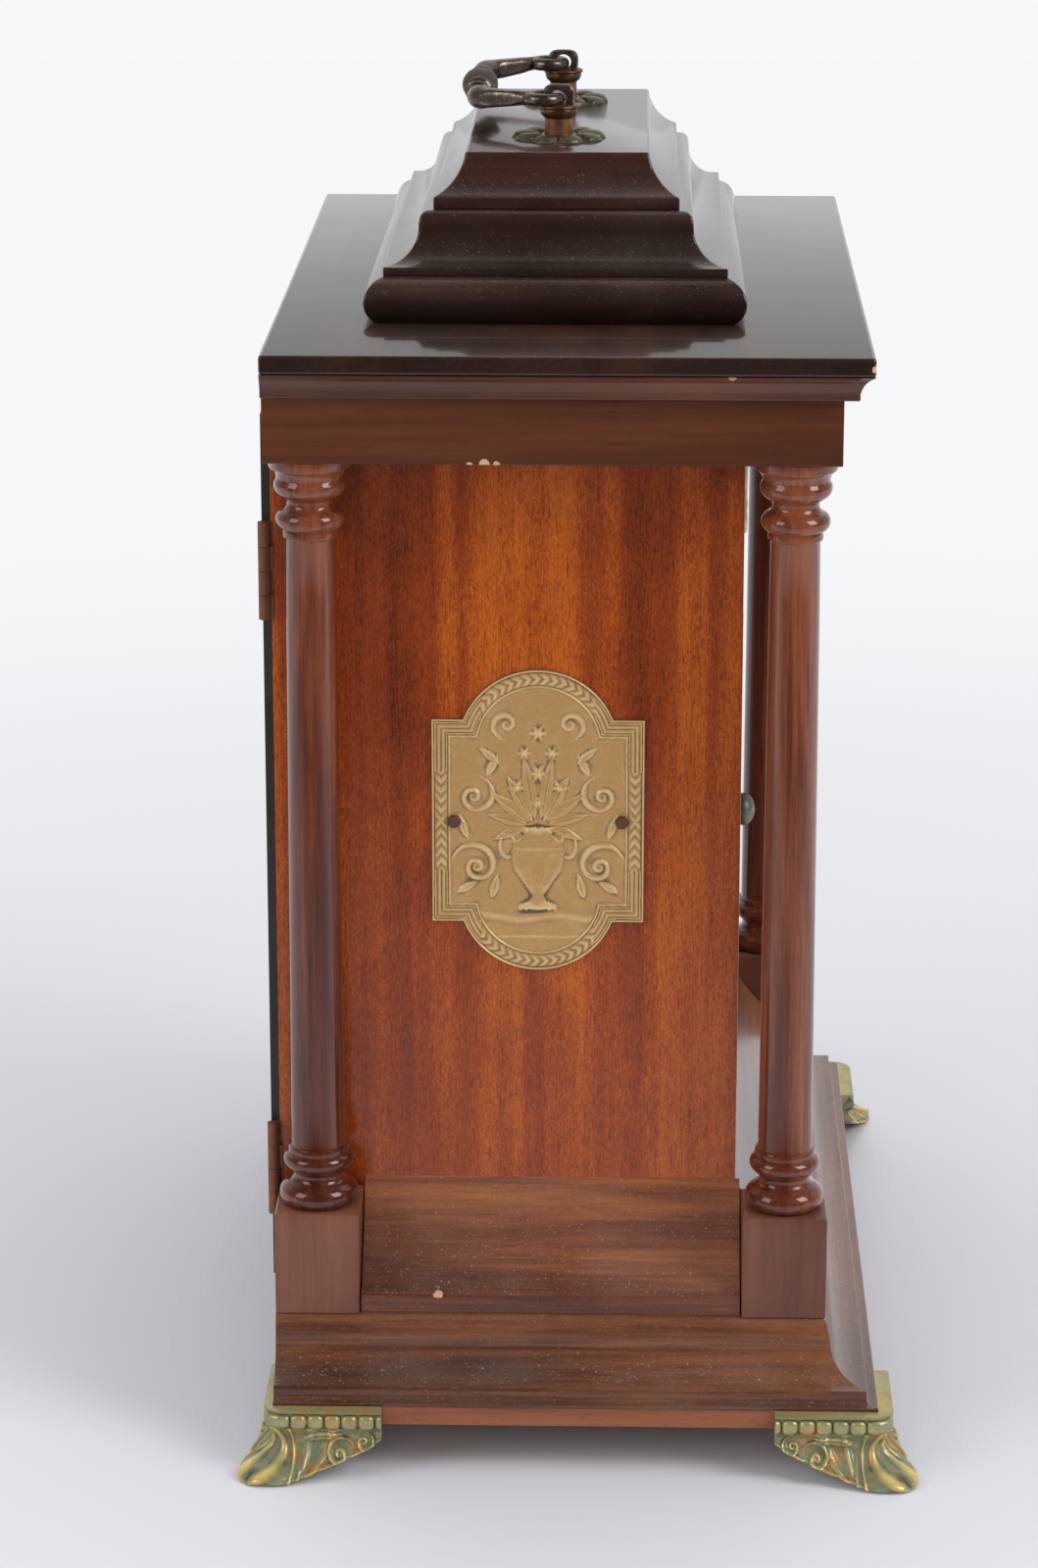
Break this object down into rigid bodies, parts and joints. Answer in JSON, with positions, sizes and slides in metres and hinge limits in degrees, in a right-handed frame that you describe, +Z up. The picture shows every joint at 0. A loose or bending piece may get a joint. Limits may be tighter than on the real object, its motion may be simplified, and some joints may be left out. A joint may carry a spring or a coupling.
{
  "type": "table clock",
  "caption": "Mahogany chiming table clock with a stepped top, bail handle, turned corner columns, side plaques, cast corner feet, a glazed front door and a hinged back door",
  "frame": {"origin": "centre of the bounding box's base, on the surface that the four feet stand on", "axes": "+Z up, -Y the dial's side, +Y the back door's side, +X the right side as seen by someone who faces the dial"},
  "size_m": [0.368, 0.2294, 0.4514],
  "materials": {
    "mahogany_case": "dark red-brown lacquered mahogany, straight grain",
    "mahogany_columns": "turned mahogany under gloss lacquer",
    "mahogany_panels": "ribbon-figured mahogany veneer under gloss lacquer",
    "mahogany_top": "very dark lacquered mahogany",
    "hidden_wood": "unfinished softwood core",
    "verdigris_brass": "cast brass with green patina, rubbed gold on the high spots",
    "dark_bronze": "dark bronzed casting",
    "copper_bronze": "worn bronze, copper showing on the post",
    "plaque_brass": "matt gilt stamped brass",
    "dial_brass": "lacquered brass, satin",
    "silvered": "silvered chapter ring, circular brushing",
    "hinge_copper": "dull copper-brown plated steel",
    "steel": "plain steel",
    "blued_steel": "black-blue hands",
    "black_door": "black satin lacquer on a thin board",
    "glass": "clear flat glass",
    "knob_bronze": "dull grey-green bronze"
  },
  "bodies": {
    "case": {"base_board": "mahogany_case", "base_moulding_front": "mahogany_case", "base_moulding_left": "mahogany_case", "base_moulding_right": "mahogany_case", "caddy_lower": "mahogany_top", "caddy_middle": "mahogany_top", "caddy_upper": "mahogany_top", "chapter_ring": "silvered", "chime_rods": "steel", "column_back_left": "mahogany_columns", "column_back_right": "mahogany_columns", "column_front_left": "mahogany_columns", "column_front_right": "mahogany_columns", "cornice_front": "mahogany_top", "cornice_left": "mahogany_top", "cornice_right": "mahogany_top", "dial_plate": "dial_brass", "foot_back_left": "verdigris_brass", "foot_back_right": "verdigris_brass", "foot_front_left": "verdigris_brass", "foot_front_right": "verdigris_brass", "foot_screws": "steel", "frieze_back": "mahogany_case", "frieze_front": "mahogany_case", "frieze_left": "mahogany_case", "frieze_right": "mahogany_case", "handle_post_left": "copper_bronze", "handle_post_right": "copper_bronze", "hinge_case_leaves": "hinge_copper", "hinge_pins": "hinge_copper", "movement_frame": "dial_brass", "plaque_left": "plaque_brass", "plaque_pins": "plaque_brass", "plaque_right": "plaque_brass", "plinth_block_back_left": "mahogany_columns", "plinth_block_back_right": "mahogany_columns", "plinth_block_front_left": "mahogany_columns", "plinth_block_front_right": "mahogany_columns", "plinth_core": "hidden_wood", "rosette_left": "dark_bronze", "rosette_right": "dark_bronze", "side_panel_left": "mahogany_panels", "side_panel_right": "mahogany_panels", "sill_front": "mahogany_case", "sill_left": "mahogany_case", "sill_right": "mahogany_case", "top_board": "mahogany_top"},
    "handle": {"bail_handle": "dark_bronze"},
    "front_door": {"front_door_frame": "mahogany_case", "front_door_glass": "glass", "door_frets": "dial_brass", "front_door_knob": "knob_bronze"},
    "back_door": {"back_door": "black_door", "hinge_door_leaves": "hinge_copper", "back_door_knob": "knob_bronze"},
    "hour": {"hour_hand": "blued_steel"},
    "minute": {"minute_hand": "blued_steel"},
    "strike_winder": {"strike_barrel": "dial_brass"},
    "going_winder": {"going_barrel": "dial_brass"},
    "chime_winder": {"chime_barrel": "dial_brass"}
  },
  "joints": [
    {"name": "bail_swing", "type": "hinge", "parent": "case", "child": "handle", "pos_m": [0, 0.00975, 0.4465], "axis": [1, 0, 0], "range_deg": [0, 180]},
    {"name": "front_door_swing", "type": "hinge", "parent": "case", "child": "front_door", "pos_m": [-0.108, -0.05025, 0.1935], "axis": [0, 0, -1], "range_deg": [0, 100]},
    {"name": "back_door_swing", "type": "hinge", "parent": "case", "child": "back_door", "pos_m": [-0.124, 0.1049, 0.1969], "axis": [0, 0, 1], "range_deg": [0, 165]},
    {"name": "minute_turn", "type": "hinge", "parent": "case", "child": "minute", "pos_m": [0, -0.02525, 0.1935], "axis": [0, 1, 0], "continuous": true},
    {"name": "hour_turn", "type": "hinge", "parent": "case", "child": "hour", "pos_m": [0, -0.02525, 0.1935], "axis": [0, 1, 0], "continuous": true},
    {"name": "strike_winding", "type": "hinge", "parent": "case", "child": "strike_winder", "pos_m": [-0.038, -0.02525, 0.1855], "axis": [0, 1, 0], "continuous": true},
    {"name": "going_winding", "type": "hinge", "parent": "case", "child": "going_winder", "pos_m": [0, -0.02525, 0.1555], "axis": [0, 1, 0], "continuous": true},
    {"name": "chime_winding", "type": "hinge", "parent": "case", "child": "chime_winder", "pos_m": [0.038, -0.02525, 0.1855], "axis": [0, 1, 0], "continuous": true}
  ],
  "couplings": [
    {"joint": "hour_turn", "follows": "minute_turn", "ratio": 0.083333}
  ]
}
